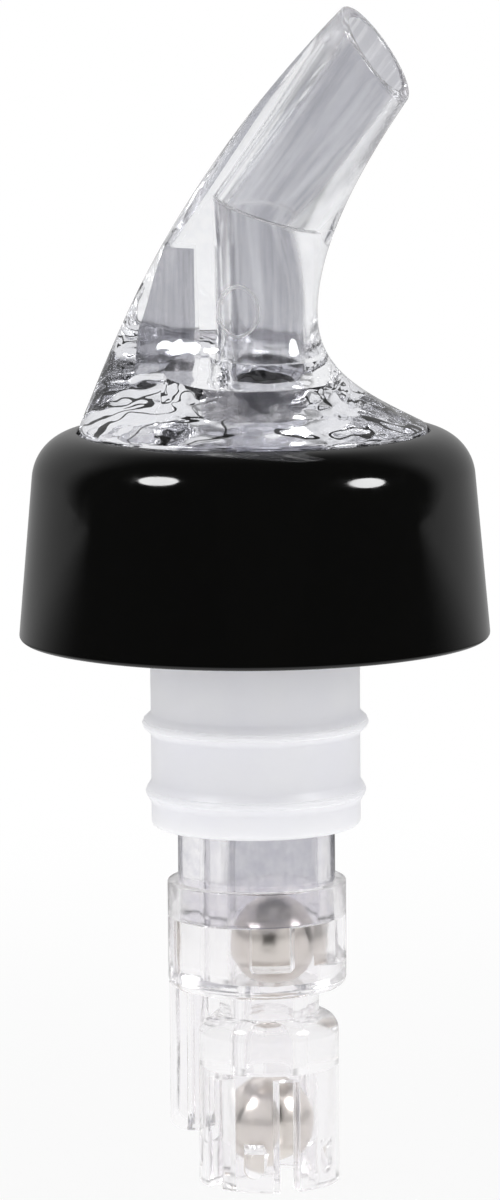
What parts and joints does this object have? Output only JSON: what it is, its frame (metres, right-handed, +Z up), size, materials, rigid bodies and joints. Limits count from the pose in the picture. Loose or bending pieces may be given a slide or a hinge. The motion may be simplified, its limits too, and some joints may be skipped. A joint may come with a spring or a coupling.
{
  "type": "measured liquor pourer",
  "caption": "Clear beaked pouring spout on a black bell collar with a ribbed bottle stopper, and a tube and ball cage below whose steel balls time each pour and stop it.",
  "frame": {"origin": "on the stopper's axis, in the plane where the bottle's lip seats under the stopper's head", "axes": "+Z up along the stopper's axis, from the bottle to the beak; +X the way the beak points"},
  "size_m": [0.0414, 0.0414, 0.1044],
  "materials": {
    "clear_plastic": "clear, moulded",
    "black_plastic": "high gloss",
    "milky_plastic": "satin, milky",
    "polished_steel": "polished"
  },
  "bodies": {
    "pourer": {"spout": "clear_plastic", "collar": "black_plastic", "stopper": "milky_plastic", "metering_tube": "clear_plastic", "ball_cage": "clear_plastic"},
    "metering_ball": {"metering_ball": "polished_steel"},
    "release_ball": {"release_ball": "polished_steel"}
  },
  "joints": [
    {"name": "metering_ball_travel", "type": "slide", "parent": "pourer", "child": "metering_ball", "axis": [0, 0, 1], "range_m": [0, 0.0493]},
    {"name": "release_ball_travel", "type": "slide", "parent": "pourer", "child": "release_ball", "axis": [0, 0, 1], "range_m": [0, 0.00125]}
  ]
}
